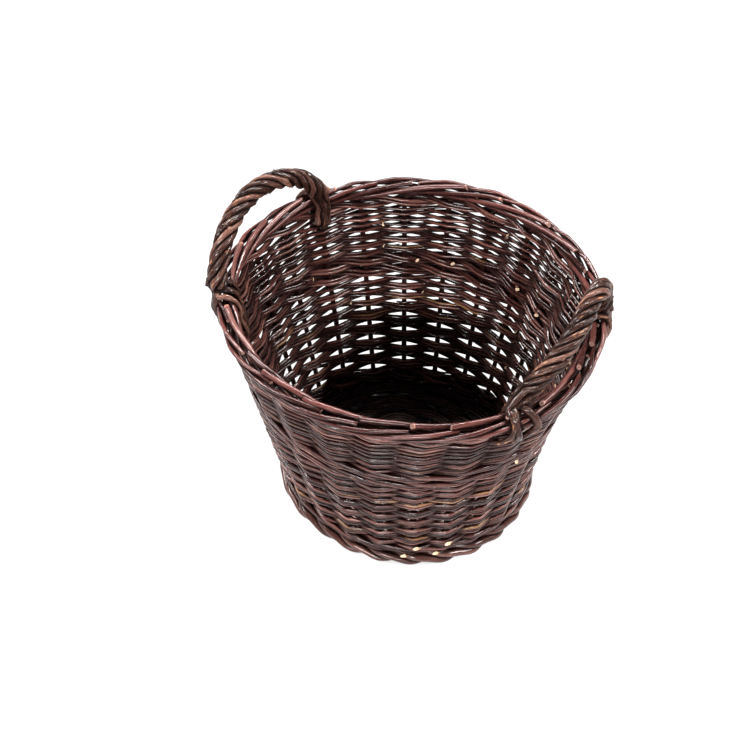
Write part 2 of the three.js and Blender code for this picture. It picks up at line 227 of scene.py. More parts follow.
def addRod(mesh, item, sides, amount):  # appends one rod's skin and ends
    path, radius, tone, tint, closed = (item[key] for key in ("path", "radius", "tone", "tint", "closed"))
    forward, across, up = turningFrames(path, closed)
    if closed:  # ends with its first ring once more, so that the bark runs on past the join
        path, radius, tone, tint, forward, across, up = (
            np.concatenate([row, row[:1]]) for row in (path, radius, tone, tint, forward, across, up))
    count = len(path)
    way = along(path)
    turn = 2 * math.pi * np.arange(sides) / sides
    ring = across[:, None] * np.cos(turn)[:, None] + up[:, None] * np.sin(turn)[:, None]
    reach = (rodSection(item, way, turn) * radius[:, None])[..., None]
    points = path[:, None] + ring * reach
    if not closed:
        for end, slant in ((0, -item["cut"][0]), (-1, item["cut"][1])):
            towards = -item["start"]
            if item["facing"] is not None:
                aside, above = item["facing"].dot(across[end]), item["facing"].dot(up[end])
                towards = math.pi + math.atan2(above, aside)
            points[end] += forward[end] * (slant * radius[end] * np.cos(turn - towards))[:, None]
    first = mesh["count"]
    index = first + np.arange(count * sides).reshape(count, sides)
    here, ahead = index[:-1], index[1:]
    quads = np.stack([here, np.roll(here, -1, axis=1), np.roll(ahead, -1, axis=1), ahead], axis=-1)
    mesh["quads"].append(quads.reshape(-1, 4))
    flat = np.stack([np.cos(turn), np.sin(turn)], axis=-1)
    place = np.concatenate([np.repeat((item["start"] + way)[:, None, None], sides, axis=1),
                            flat[None] * reach], axis=-1)
    # painted shade: each point takes its darkness from how crowded the willow is just over its bark
    outside = (points + crowd["above"] * ring).reshape(-1, 3)
    addRows(mesh, dict(points=points.reshape(-1, 3), place=place.reshape(-1, 3),
                       edge=np.ones(count * sides), tone=np.repeat(tone, sides),
                       tint=np.repeat(tint, sides), hollow=crowdAt(amount, outside)))
    if not closed:
        for end, order in ((0, 1), (count - 1, -1)):
            rim = index[end][::order]
            middle = np.full(sides, mesh["count"])
            mesh["ends"].append(np.stack([middle, np.roll(rim, -1), rim], axis=-1))
            addRows(mesh, dict(points=points[end].mean(axis=0)[None],
                               place=np.array([[item["start"] + way[end], 0, 0]]), edge=np.zeros(1),
                               tone=tone[[end]], tint=tint[[end]], hollow=np.zeros(1)))


pieces = []  # every piece is planned first and built at the end, when all the rods are known


def planPiece(name, rods, sides, nodes, slot, bark):  # sides is how many a rod has round it
    pieces.append(dict(name=name, rods=rods, sides=sides, nodes=nodes, slot=slot, bark=bark))


pointValues = dict(place="FLOAT_VECTOR", edge="FLOAT", tone="FLOAT", tint="FLOAT", hollow="FLOAT")
sharpAngle = math.radians(58)


def buildPiece(amount, name, rods, sides, nodes, slot, bark):
    mesh = dict(points=[], quads=[], ends=[], count=0, **{key: [] for key in pointValues})
    for item in rods:
        addRod(mesh, item, sides, amount)
    points = widened(np.concatenate(mesh["points"])) * mm
    quads = np.concatenate(mesh["quads"])
    ends = np.concatenate(mesh["ends"]) if mesh["ends"] else np.zeros((0, 3), int)
    data = bpy.data.meshes.new(name)
    data.vertices.add(len(points))
    data.vertices.foreach_set("co", points.astype(np.float32).ravel())
    corners = np.concatenate([quads.ravel(), ends.ravel()])
    data.loops.add(len(corners))
    data.loops.foreach_set("vertex_index", corners.astype(np.int32))
    starts = np.concatenate([np.arange(len(quads)) * 4, len(quads) * 4 + np.arange(len(ends)) * 3])
    data.polygons.add(len(starts))
    data.polygons.foreach_set("loop_start", starts.astype(np.int32))
    materials = np.repeat([0, 1], [len(quads), len(ends)])
    data.polygons.foreach_set("material_index", materials.astype(np.int32))
    data.update(calc_edges=True)
    for key, kind in pointValues.items():
        layer = data.attributes.new(key, kind, "POINT")
        field = "vector" if kind == "FLOAT_VECTOR" else "value"
        layer.data.foreach_set(field, np.concatenate(mesh[key]).astype(np.float32).ravel())
    data.shade_smooth()
    data.set_sharp_from_angle(angle=sharpAngle)
    data.materials.append(bark)
    data.materials.append(agedWood if slot in ("border_willow", "handle_willow") else freshWood)
    piece = bpy.data.objects.new(name, data)
    bpy.context.scene.collection.objects.link(piece)
    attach(piece, "root")
    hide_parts(*nodes)


# Shader sums: a Shade wraps a socket, and each operator adds one Math node
class Shade:
    def __init__(self, tree, socket=None):
        self.tree, self.socket = tree, socket

    def node(self, kind, settings=None, inputs=None, output=0):
        made = self.tree.nodes.new(kind)
        for key, value in (settings or {}).items():
            if key == "stops":
                ramp = made.color_ramp
                while len(ramp.elements) < len(value):
                    ramp.elements.new(0.5)
                for stop, (place, colour) in zip(ramp.elements, value):
                    stop.position = place
                    stop.color = (*colour, 1.0)
            else:
                setattr(made, key, value)
        for key, value in (inputs or {}).items():
            if isinstance(value, Shade):
                self.tree.links.new(value.socket, made.inputs[key])
            else:
                made.inputs[key].default_value = value
        return Shade(self.tree, made.outputs[output] if made.outputs else None)

    def sum(self, operation, first, second, **more):
        return self.node("ShaderNodeMath", dict(operation=operation, **more), {0: first, 1: second})

    def __add__(self, other):
        return self.sum("ADD", self, other)

    def __radd__(self, other):
        return self.sum("ADD", other, self)

    def __sub__(self, other):
        return self.sum("SUBTRACT", self, other)

    def __rsub__(self, other):
        return self.sum("SUBTRACT", other, self)

    def __mul__(self, other):
        return self.sum("MULTIPLY", self, other)

    def __rmul__(self, other):
        return self.sum("MULTIPLY", other, self)

    def clamped(self):
        return self.sum("ADD", self, 0.0, use_clamp=True)

    def read(self, key, output=2):  # a value that each point has: output 1 is a vector, 2 a number
        return self.node("ShaderNodeAttribute", dict(attribute_name=key), {}, output)

    def pattern(self, lengthways, across, shift, detail, roughness):  # noise stretched along the rod
        shifted = self.node("ShaderNodeVectorMath", dict(operation="ADD"), {0: self, 1: (shift, 0, 0)})
        stretched = self.node("ShaderNodeVectorMath", dict(operation="MULTIPLY"),
                              {0: shifted, 1: (lengthways, across, across)})
        return self.node("ShaderNodeTexNoise", {}, {"Vector": stretched, "Scale": 1.0, "Detail": detail,
                                                    "Roughness": roughness})

    def between(self, low, high):  # 0 below low, 1 above high, smooth between
        return self.node("ShaderNodeMapRange", dict(interpolation_type="SMOOTHSTEP"),
                         {"Value": self, "From Min": low, "From Max": high})

    def ramp(self, stops):
        return self.node("ShaderNodeValToRGB", dict(stops=stops), {"Fac": self})

    def over(self, under, colour):  # colour where this mask is 1, under where it is 0
        inputs = {"Factor": self, 6: under, 7: (*colour, 1.0)}
        return self.node("ShaderNodeMix", dict(data_type="RGBA"), inputs, 2)


def newMaterial(name):
    material = bpy.data.materials.new(name)
    material.use_nodes = True
    tree = material.node_tree
    tree.nodes.clear()
    return material, Shade(tree)


# Patterns in the bark and in cut wood: how fine they are along the rod and across it, a shift along
# it, and the detail and roughness of the noise
patterns = dict(streaks=(0.035, 1.1, 0.0, 3.0, 0.6), patches=(0.03, 0.12, 71.0, 2.0, 0.5),
                grain=(0.5, 2.6, 13.0, 3.0, 0.65), mottle=(0.16, 0.55, 307.0, 3.0, 0.55),
                specks=(0.5, 1.3, 41.0, 1.0, 0.5))
cutPattern = (0.4, 1.8, 5.0, 3.0, 0.6)
# Where masks begin and are full, and in how much wear is full. The mask for the hollows is painted
# shade where the willow is crowded. A tint shows in patches, but all over where it is tinted whole.
masks = dict(hollow=(0.02, 0.2), tinted=(0.35, 0.9), tintedWhole=(0.8, 0.95), tintPatch=(0.42, 0.6),
             speck=(0.68, 0.74), wearFull=0.09)


def barkMaterial(name, look):
    material, s = newMaterial(name)
    place, tint = s.read("place", 1), s.read("tint")
    hollow = s.read("hollow").between(*masks["hollow"])
    streaks, patches, grain, mottle, specks = (place.pattern(*row) for row in patterns.values())
    marks = patches * 0.35 + streaks * 0.55 + mottle * 0.3 - 0.6
    shade = s.read("tone") * 0.7 + marks * look["contrast"] + 0.1
    bark = shade.clamped().ramp(look["stops"])
    patchy = tint.between(*masks["tintedWhole"]) + patches.between(*masks["tintPatch"])
    tinted = tint.between(*masks["tinted"]) * patchy.clamped()
    bark = tinted.over(bark, look["tinted"])
    wear = mottle * 0.6 + streaks * 0.4 + patches * 0.35
    worn = wear.between(look["wornFrom"], look["wornFrom"] + masks["wearFull"]) * look["wornMost"]
    bark = worn.over(bark, look["worn"])
    bark = (specks.between(*masks["speck"]) * look["specks"]).over(bark, look["speck"])
    # Painted shade: in the hollows between rods the bark darkens towards its darkest stop, and its coat
    # fades
    bark = (hollow * 0.95).over(bark, look["stops"][0][1])
    rough = look["rough"] + 0.3 * (grain - 0.5) + 0.25 * (streaks - 0.5)
    rough = (rough + worn * 0.12 + hollow * 0.3).clamped()
    relief = streaks * 0.6 + grain * 0.5 + mottle * 0.8
    bump = s.node("ShaderNodeBump", {}, {"Height": relief, "Distance": look["relief"] * mm,
                                         "Strength": 0.8})
    shader = s.node("ShaderNodeBsdfPrincipled", {}, {
        "Base Color": bark, "Roughness": rough, "Normal": bump, "IOR": 1.45,
        "Specular IOR Level": look["gloss"], "Coat Weight": (1 - hollow) * look["coat"],
        "Coat Roughness": 0.11})
    s.node("ShaderNodeOutputMaterial", {}, {"Surface": shader})
    return material


def cutMaterial(name, stops):  # the ramp runs from the pith in the middle of a cut end to its bark
    material, s = newMaterial(name)
    grain = s.read("place", 1).pattern(*cutPattern)
    wood = (s.read("edge") + (grain - 0.5) * 0.25).ramp(stops)
    bump = s.node("ShaderNodeBump", {}, {"Height": grain, "Distance": 0.3 * mm})
    inputs = {"Base Color": wood, "Roughness": 0.75, "Normal": bump}
    shader = s.node("ShaderNodeBsdfPrincipled", {}, inputs)
    s.node("ShaderNodeOutputMaterial", {}, {"Surface": shader})
    return material


# The stops run from the darkest marks of a bark to its palest, and the darkest is also the painted
# shade in the hollows between rods. Gloss is what the bark itself has, and coat what the smooth skin
# over it adds.
weaverLook = dict(stops=[(0.0, (0.006, 0.0013, 0.001)), (0.35, (0.031, 0.009, 0.007)),
                         (0.65, (0.08, 0.0265, 0.021)), (1.0, (0.19, 0.083, 0.064))],
                  tinted=(0.26, 0.125, 0.05), worn=(0.34, 0.14, 0.06), wornFrom=0.86, wornMost=0.7,
                  speck=(0.24, 0.16, 0.12), contrast=1.5, specks=0.6, rough=0.2, relief=0.2,
                  gloss=0.08, coat=0.85)
barkLooks = dict(
    weaver=weaverLook,
    border=dict(weaverLook, stops=[(0.0, (0.008, 0.002, 0.0015)), (0.35, (0.038, 0.01, 0.0085)),
                                   (0.65, (0.078, 0.0245, 0.0205)), (1.0, (0.14, 0.06, 0.05))],
                tinted=(0.28, 0.125, 0.09), wornFrom=0.9, coat=0.55),
    wale=dict(weaverLook, wornFrom=0.84),
    foot=dict(weaverLook, stops=[(0.0, (0.01, 0.0038, 0.003)), (0.35, (0.032, 0.012, 0.0092)),
                                 (0.65, (0.05, 0.019, 0.015)), (1.0, (0.12, 0.053, 0.04))],
              wornFrom=0.84, coat=0.7),
    # painted shade: the base's bark is darker than the same willow in the side, as the basket's floor lies
    # in shade
    base=dict(weaverLook, stops=[(0.0, (0.005, 0.0018, 0.0014)), (0.35, (0.018, 0.007, 0.0055)),
                                 (0.65, (0.04, 0.017, 0.013)), (1.0, (0.08, 0.038, 0.03))],
              wornMost=0.3, rough=0.5, gloss=0.2, coat=0.0),
    handle=dict(weaverLook, stops=[(0.0, (0.007, 0.0028, 0.0022)), (0.3, (0.032, 0.012, 0.0085)),
                                   (0.6, (0.074, 0.031, 0.023)), (1.0, (0.175, 0.086, 0.06))],
                worn=(0.46, 0.21, 0.085), wornFrom=0.78, wornMost=0.85, specks=0.9,
                rough=0.32, relief=0.8, contrast=2.2, coat=0.3),
)
freshWood = cutMaterial("freshCutWood", [
    (0.0, (0.10, 0.045, 0.02)), (0.22, (0.36, 0.21, 0.11)), (0.34, (0.66, 0.48, 0.30)),
    (0.8, (0.72, 0.54, 0.36)), (0.93, (0.20, 0.09, 0.06))])
agedWood = cutMaterial("agedCutWood", [
    (0.0, (0.03, 0.013, 0.009)), (0.22, (0.08, 0.036, 0.026)), (0.34, (0.15, 0.074, 0.056)),
    (0.8, (0.19, 0.095, 0.073)), (0.93, (0.06, 0.024, 0.018))])
barks = {key: barkMaterial(f"{key}Willow", look) for key, look in barkLooks.items()}
print("materials:", ", ".join(barks))


# Places along a weaver, in stakes: closer together where it bends round one
bendStations = np.array([-0.5, -0.34, -0.2, -0.11, -0.04, 0.04, 0.11, 0.2, 0.34])


def stations(first, last):
    places = (np.arange(math.floor(first), math.ceil(last) + 1)[:, None] + bendStations).ravel()
    return places[(places >= first) & (places <= last)]


def stroke(place, sharp=0.987):  # 1 in front of even stakes and -1 behind odd ones, near straight between
    return np.arcsin(sharp * np.cos(math.pi * place)) / math.asin(sharp)


# Side weave: each weaver is a few lanes of rods, and a new rod is joined in where one runs out. The
# rows, given as a height and how far apart they are there, are finer higher up, and the uppermost lane
# of each weaver ends at the height fewer. RodStakes is how many stakes a rod lasts, room what is
# added at a weaver's two ends, and tints the share of yellower rods, their tint and the others'.
packs = dict(label="sidePack", node="pack_weaver", seed=11, lanes=3, butt=4.5, tip=3.8, rodStakes=29,
             laneGap=4.0, wander=0.4, fewer=127, room=(-0.3, 0.3), tints=(0.08, (0.4, 0.7), (0, 0.3)),
             rows=((35, 9.4), (70, 10.4), (121, 10.2), (131, 6.7), (167, 6.0)))
fineRods = dict(label="fineRods", node="fine_weaver", seed=21, lanes=2, butt=4.7, tip=4.0, rodStakes=21,
                laneGap=3.5, wander=0.3, fewer=229, room=(-0.3, 2.2), tints=(0.3, (0.36, 0.55), (0, 0.42)),
                rows=((198, 5.8), (225, 5.5), (233, 3.9), (257, 3.6)))
stakeReach = 2.7  # from the middle of a stake to the rods that bear on it
# How a weaver's rods lie. Wanders are a size and a length in stakes, and so are the ends: how far a
# new butt stands out inside and an old tip outside, and how much thinner a rod gets.
weave = dict(thickness=0.09, drawnIn=0.1, closeOver=6, laneLength=7.3, wander=(0.38, 3.1),
             loose=(0.7, 4.7), clear=0.15, outside=1.1, overlap=1.2, shortest=4, joinAfter=0.4,
             butt=(2.2, 0.35), tip=(1.6, 0.5), thinStart=(0.5, 1.5), thinEnd=(0.45, 1.2),
             cut=(0.5, 0.6), laneStart=0.35, laneEnd=1.65, firstLasts=(0.25, 1.0), lasts=(0.85, 1.1))


def chase(low, high, rows, perRound):  # a spiral that starts and ends level, half a round each
    rowPlaces, rowHeights = zip(*rows)
    z = np.linspace(low + rowHeights[0] / 2, high - rowHeights[-1] / 2, 300)
    pace = perRound / 2 / np.interp(z, rowPlaces, rowHeights)
    place = perRound / 2 + np.concatenate([[0], np.cumsum((pace[1:] + pace[:-1]) / 2 * np.diff(z))])
    return place[-1] + perRound / 2, lambda at: np.interp(at, place, z)


def laneEnds(look, total, level):  # first and last place of each lane, staged over the level half rounds
    lanes, half = look["lanes"], wall["stakes"] / 2
    grid = np.arange(0, total, 0.25)
    dropped = grid[np.searchsorted(level(grid), look["fewer"])]
    first = [half * (lane + weave["laneStart"]) / lanes for lane in range(lanes)]
    last = [total - half * (lanes - weave["laneEnd"] - lane) / (lanes - 1) for lane in range(lanes - 1)]
    return list(zip(first, last + [dropped]))


def bump(size, length, place, end):  # size at an end of a rod, dying away along it
    return size * np.exp(-((place - end) / length) ** 2)


def laneRod(look, index, lane, number, begin, end, last, level, seed, rng):
    seedHere = seed * 1000 + lane * 100 + number
    joined, followed = number > 0, end < last
    place = stations(begin, min(end + (weave["overlap"] if followed else 0), last))
    share = (place - begin) / look["rodStakes"]
    if not joined:
        share = share + 1 - (end - begin) / look["rodStakes"]
    radius = (look["butt"] + (look["tip"] - look["butt"]) * np.clip(share, 0, 1)) / 2
    radius = radius * (1 + weave["thickness"] * rng.uniform(-1, 1))
    spread = 1 + weave["drawnIn"] * np.cos(2 * math.pi * place)  # drawn together between the stakes
    height = level(place)
    together = np.clip((height - look["fewer"]) / weave["closeOver"] + 0.5, 0, 1)
    side = lane - (look["lanes"] - 1 - together) / 2
    swing = lambda key, own: weave[key][0] * drift(place, own, weave[key][1])
    z = height + side * look["laneGap"] * spread
    z = z + look["wander"] * drift(place, seed + 5, weave["laneLength"]) + swing("wander", seedHere)
    start = index * wall["stakes"] / 2
    bearing = (stakeReach + radius + weave["clear"]) / wallLean
    away = bearing * stroke(start + place + index)
    away = away * np.where(away > 0, weave["outside"], 1.0)
    away = away + swing("loose", seedHere + 31) * np.sin(math.pi * place) ** 2
    if joined:
        away = away - bump(*weave["butt"], place, begin)
    else:
        radius = radius * (1 - bump(*weave["thinStart"], place, begin))
    if followed:
        away = away + bump(*weave["tip"], place, place[-1])
    radius = radius * (1 - bump(*weave["thinEnd"], place, place[-1]))
    path = polar((start + place) * step, wallRadius(z) + away, z)
    share, yellower, others = look["tints"]
    tint = rng.uniform(*(yellower if rng.uniform() < share else others))
    return rod(path, radius, seedHere, tint=tint, cut=weave["cut"])


def addWeaver(look, index, letter):
    seed = look["seed"] + index
    rng = np.random.default_rng(seed)
    ends = [end + room for end, room in zip(heights(f"{look['node']}_a"), look["room"])]
    total, level = chase(*ends, look["rows"], wall["stakes"])
    rods = []
    for lane, (begin, last) in enumerate(laneEnds(look, total, level)):
        joins = [begin]
        first = begin + rng.uniform(*weave["firstLasts"]) * look["rodStakes"]
        while first < last - weave["shortest"]:
            joins.append(round(first) + weave["joinAfter"])
            first += look["rodStakes"] * rng.uniform(*weave["lasts"])
        joins.append(last)
        for number, (a, b) in enumerate(zip(joins, joins[1:])):
            rods.append(laneRod(look, index, lane, number, a, b, last, level, seed, rng))
    planPiece(look["label"] + letter.upper(), rods, 8, [f"{look['node']}_{letter}"], "weaving_willow",
              barks["weaver"])


for index, letter in enumerate("ab"):
    addWeaver(packs, index, letter)
    addWeaver(fineRods, index, letter)
print("side weave:", 2 * packs["lanes"], "lanes of packs and", 2 * fineRods["lanes"], "of fine rods")


# Waled bands. Turns gives a rod's place, outwards and upwards, at every half stake. A band of one
# round is closed. In one of two, a rod steps up in the climb half stakes at a round's end. It begins
# overlap half stakes before its first round, and ends as many into its last step.
waleTurns = [(-1, 0), (0, 1), (1, 1), (1, 0), (1, -1), (0, -1)]
fitchTurns = [(-1, 0), (0, 1), (1, 0), (0, -1)]
bandWay = dict(perHalf=5, climb=6, overlap=2.8, lowest=-0.15, belowTop=0.85, clear=0.2, thickness=0.05,
               wobbles=((0.35, 5, 1.0), (0.25, 13, 2.1)), wobbleBelow=0.4)
# Cut ends that come through a band, in degrees and height, inside the wall (side -1) or outside it.
# Turns, in stakes, away and up give the points of an end's path. An outside one has lost its bark.
insideButts = dict(places=((159, 192), (115, 192), (101, 194), (71, 198), (57, 189), (201, 193),
                           (243, 188), (288, 193), (331, 190), (14, 194)),
                   side=-1, turns=(0.55, 0.28, 0.09, 0.0), radius=2.6, slant=0.25)
outsideButts = dict(places=((296.5, 16), (302, 33), (311, 19), (316, 37), (129, 18), (137, 22)),
                    side=1, turns=(1.1, 0.6, 0.25, 0.0), radius=1.9, slant=2.4)
buttWay = dict(away=(-4.5, 0.0, 6.0, 10.5), up=(-1.5, -0.5, 0.6, 2.0), spacing=1.5, bare=3.5, fade=1.5,
               aside=10)
# Rod is the thickness of a rod, rise how far it goes up and down, and pair how far apart two rods lie
# that are worked as one.
bands = dict(
    footRod=dict(node="foot_rod", slot="foot_willow", bark="foot", strands=3, rounds=1, seed=45,
                 turns=waleTurns, rod=8.2, rise=4.4, pair=0, lift=0.3, butts=outsideButts),
    bottomWale=dict(node="bottom_wale", slot="wale_willow", bark="wale", strands=3, rounds=1, seed=65,
                    turns=waleTurns, rod=4.7, rise=3.4, pair=4.2, lift=0),
    middleWale=dict(node="middle_wale", slot="wale_willow", bark="wale", strands=3, rounds=2, seed=85,
                    turns=waleTurns, rod=4.3, rise=3.5, pair=4.2, lift=0, butts=insideButts),
    topFitch=dict(node="top_fitch", slot="wale_willow", bark="wale", strands=2, rounds=1, seed=105,
                  turns=fitchTurns, rod=4.3, rise=3.2, pair=3.8, lift=2.2),
)


def bandRod(path, index, rounds, middle, rise, reach, radius, seed):
    perRound = 2 * wall["stakes"]
    closed = rounds == 1
    fine, climb = bandWay["perHalf"], bandWay["climb"]
    overlap = 0 if closed else bandWay["overlap"]
    last = perRound * rounds - (0 if closed else climb) + overlap
    place = np.arange(round(-overlap * fine), last * fine + (0 if closed else 1)) / fine
    cycle = spline(path, fine, closed=True)
    turn = ((place + 2 * index) * fine).round().astype(int) % len(cycle)
    out, up = cycle[turn].T
    climbed = np.floor(place / perRound) + np.maximum(place % perRound - (perRound - climb), 0) / climb
    lift = 0 if closed else np.clip(climbed, bandWay["lowest"], rounds - bandWay["belowTop"]) * rise
    lean = flare if middle > footHeight else 0.0
    around = 2 * math.pi * place / perRound
    wobble = sum(size * np.sin(around * waves + k * seed) for size, waves, k in bandWay["wobbles"])
    z = middle + lift + up + wobble * (bandWay["wobbleBelow"] if middle < footHeight else 1)
    radius = radius * (1 + bandWay["thickness"] * np.sin(around * 2 + seed))
    path = polar(place * step / 2, wallRadius(middle + lift) + lean * up + out * reach, z)
    return rod(path, radius, seed, closed=closed, cut=(0.4, 0.4))


def butt(degrees, z, look, seed):
    side = look["side"]
    keys = [polar(math.radians(degrees) + turn * step, wallRadius(z) + side * away, z + up)
            for turn, away, up in zip(look["turns"], buttWay["away"], buttWay["up"])]
    path = evenly(spline(keys, 8), buttWay["spacing"])
    toEnd = along(path)[-1] - along(path)
    bare = np.clip((buttWay["bare"] - toEnd) / buttWay["fade"], 0, 1) * (side > 0)
    facing = polar(math.radians(degrees - buttWay["aside"]), 1.0, 0.7) if side > 0 else None
    return rod(path, look["radius"], seed, cut=(0.2, look["slant"]), tint=bare, facing=facing)


def addBand(label, look):
    nodes = [f"{look['node']}_{index + 1}" for index in range(look["strands"])]
    low, high = heights(nodes[0])
    rise = (high - low) / look["rounds"]
    middle = min(heights(node)[0] for node in nodes) + rise / 2 + look["lift"]
    reach = (stakeReach + look["rod"] / 2 + bandWay["clear"]) / wallLean
    butts = look.get("butts", dict(places=()))
    for index, node in enumerate(nodes):
        rods = []
        for side in ((-0.5, 0.5) if look["pair"] else (0,)):
            path = [(out, up * look["rise"] + side * look["pair"]) for out, up in look["turns"]]
            rods.append(bandRod(path, index, look["rounds"], middle, rise, reach, look["rod"] / 2,
                                look["seed"] + index + round(10 * side)))
        for i, (degrees, z) in enumerate(butts["places"][index::len(nodes)]):
            rods.append(butt(degrees, z, butts, 700 + look["seed"] + i))
        planPiece(f"{label}{index + 1}", rods, 12, [node], look["slot"], barks[look["bark"]])


for label, look in bands.items():
    addBand(label, look)
print("bands: foot, bottom wale, middle wale, fitch")


# Stakes: up through the wall, out below the border, then laid clockwise round its braid, perStake
# degrees round it from one stake to the next. A second rod beside each stake is laid the other way,
# over the outside of the braid, and goes around degrees round it.
border = dict(radius=198.6, height=283.5, across=8.4, upright=7.4, perStake=55.0, around=52.0,
              firstTurn=-12.0, spacing=3.6)
# Strokes and keys, the step between the points of the laid part, are in stakes. Under the border a
# stake is darker, partly its own tone and partly painted shade, as it stands in shade inside the wall,
# and at its cut end it is bare.
stakeLook = dict(heights=(3.0, footHeight, 60, 110, 160, 210, 250, 263), bend=(196.5, 269.0),
                 bendTurn=0.05, strokes=3.35, longer=(-0.3, 0.3), keys=0.35, wander=(0.13, 2.5),
                 laidFrom=264, laidOver=9, darkerAndShaded=0.9, radius=3.0, thinnerLaid=0.3, thickerEnd=0.4,
                 endFrom=0.6, varies=(-0.17, 0.13), bare=(-1, 5), bareOver=3, slant=(0.2, 0.6))
secondLook = dict(first=0.1, strokes=2.1, longer=(0, 0.4), keys=0.25, swell=1.03, wander=(0.1, 2.0),
                  radius=2.6, varies=(0.82, 1.12))


def borderPoint(angle, strokes, swell=1.0):  # strokes counted in stakes, clockwise from the stake
    perStake = border["perStake"] if strokes > 0 else border["around"]
    turn = np.radians(border["firstTurn"] + perStake * strokes)
    return polar(angle - step * strokes, border["radius"] - border["across"] * swell * np.sin(turn),
                 border["height"] - border["upright"] * swell * np.cos(turn))


def laidStake(k, angle, rng):
    look = stakeLook
    strokes = look["strokes"] + rng.uniform(*look["longer"])
    upright = [polar(angle, wallRadius(z), z) for z in look["heights"]]
    bend = [polar(angle - look["bendTurn"] * step, *look["bend"])]
    places = np.append(np.arange(look["keys"], strokes - 0.2, look["keys"]), strokes)
    size, length = look["wander"]
    laid = [borderPoint(angle, p, 1 + size * drift(p, 330 + k, length)) for p in places]
    path = evenly(spline(upright + bend + laid, 10), border["spacing"])
    laidShare = np.clip((path[:, 2] - look["laidFrom"]) / look["laidOver"], 0, 1)
    way = along(path)
    lastShare = np.clip((way / way[-1] - look["endFrom"]) / (1 - look["endFrom"]), 0, 1)
    radius = look["radius"] + laidShare * (look["thickerEnd"] * lastShare - look["thinnerLaid"])
    radius = radius * (1 + rng.uniform(*look["varies"]) * laidShare)
    bare = np.clip((way - way[-1] + rng.uniform(*look["bare"])) / look["bareOver"], 0, 1)
    # partly painted shade: the upright part of a stake is darker than its laid part
    return rod(path, radius, 300 + k, shade=look["darkerAndShaded"] * (laidShare - 1),
               cut=(0.0, rng.uniform(*look["slant"])), tint=bare)


def secondRod(k, angle, rng):  # both its ends are hidden inside the braid
    look = secondLook
    places = -np.arange(look["first"], look["strokes"] + rng.uniform(*look["longer"]), look["keys"])
    size, length = look["wander"]
    laid = [borderPoint(angle, p, look["swell"] + size * drift(p, 360 + k, length)) for p in places]
    rooted = [borderPoint(angle, p, 1 - p) for p in (0.6, 0.3)]
    hidden = [borderPoint(angle, places[-1] - p, 1 - p) for p in (0.3, 0.6)]
    path = evenly(spline(rooted + laid + hidden, 10), border["spacing"])
    return rod(path, look["radius"] * rng.uniform(*look["varies"]), 340 + k, cut=(0.3, 0.3))


for k in range(wall["stakes"]):
    rng = np.random.default_rng(300 + k)
    rods = [laidStake(k, k * step, rng), secondRod(k, k * step, rng)]
    planPiece(f"borderStake{k + 1:02d}", rods, 12, [f"stake_{k + 1:02d}"], "border_willow",
              barks["border"])
print("stakes:", wall["stakes"])


# Base: slit and through sticks opened into spokes, with thin rods woven over and under them. Slit
# and through are a stick's width and height, and the last rods lie level past the spokes' ends.
base = dict(height=18.0, slath=13.0, spokeStart=30.0, spokeBend=20.0, toStakes=6.5, slit=(7.0, 9.0),
            through=(6.4, 4.4), beside=0.4, taper=(1.06, 0.9), spacing=5.0, row=12.6, first=17.0,
            edge=132.5, rods=3, rod=4.3, clear=0.3, sharp=0.85, laneStart=2.0, laneEnd=0.7, fine=0.125,
            level=dict(within=1.5, over=3.0, least=0.2, up=2.0), wander=(0.3, 5))
spokes = wall["stakes"] // 2
spokeStep = 2 * step


def stickPath(fan, width):  # fan is -1, 0 or 1: the middle stick is straight
    turn = fan * spokeStep
    reaches = (wall["footRadius"] - base["toStakes"], base["spokeStart"] + base["spokeBend"],
               base["spokeStart"])
    left = [polar(math.pi - turn, reach, base["height"]) for reach in reaches]
    right = [polar(turn, reach, base["height"]) for reach in reversed(reaches)]
    side = fan * (width + base["beside"])
    middle = [np.array([x, side, base["height"]]) for x in (-base["slath"], 0, base["slath"])]
    return evenly(spline(left + middle + right, 8), base["spacing"])


def addSticks(label, node, size, first):
    for i in range(3):
        path = stickPath(i - 1, size[0])
        turn = step / 2 + (first + 1) * spokeStep
        c, s = math.cos(turn), math.sin(turn)
        spin = np.array([[c, -s, 0], [s, c, 0], [0, 0, 1]])
        radius = (size[0] + size[1]) / 4 * np.linspace(*base["taper"], len(path))
        made = rod(path @ spin.T, radius, 400 + first + i, cut=(0.3, 0.3))
        planPiece(f"{label}{i + 1}", [made], 12, [f"{node}_{i + 1}"], "base_willow", barks["base"])


addSticks("slitStick", "slit_stick", base["slit"], 0)
addSticks("throughStick", "through_stick", base["through"], 3)


def addBaseWeaver(index, letter):
    total, reach = chase(base["first"], base["edge"], ((0, base["row"]), (1, base["row"])), spokes)
    start = index * spokes / 2
    level = base["level"]
    size, length = base["wander"]
    rods = []
    for lane in range(base["rods"]):
        side = (lane - (base["rods"] - 1) / 2) * base["row"] / base["rods"]
        last = total - base["laneEnd"] * (base["rods"] - 1 - lane)
        place = np.arange(base["laneStart"] * lane, last + 0.01, base["fine"])
        stick = np.where((start + place).round() % 6 < 3, base["slit"][1], base["through"][1])
        lift = stick / 2 + base["clear"] + base["rod"] / 2
        spoked = (base["edge"] - level["within"] - reach(place) - side) / level["over"]
        spoked = np.clip(spoked, level["least"], 1)
        z = base["height"] + lift * spoked * stroke(start + place + index, base["sharp"])
        z = z + level["up"] * (1 - spoked) + size * drift(place, 440 + lane, length)
        path = polar(step / 2 + (start + place) * spokeStep, reach(place) + side, z)
        rods.append(rod(path, base["rod"] / 2, 450 + 10 * index + lane, cut=(0.5, 0.5)))
    planPiece(f"baseWeaver{letter.upper()}", rods, 8, [f"base_weaver_{letter}"], "base_willow",
              barks["base"])


for index, letter in enumerate("ab"):
    addBaseWeaver(index, letter)
print("base: sticks and weavers")


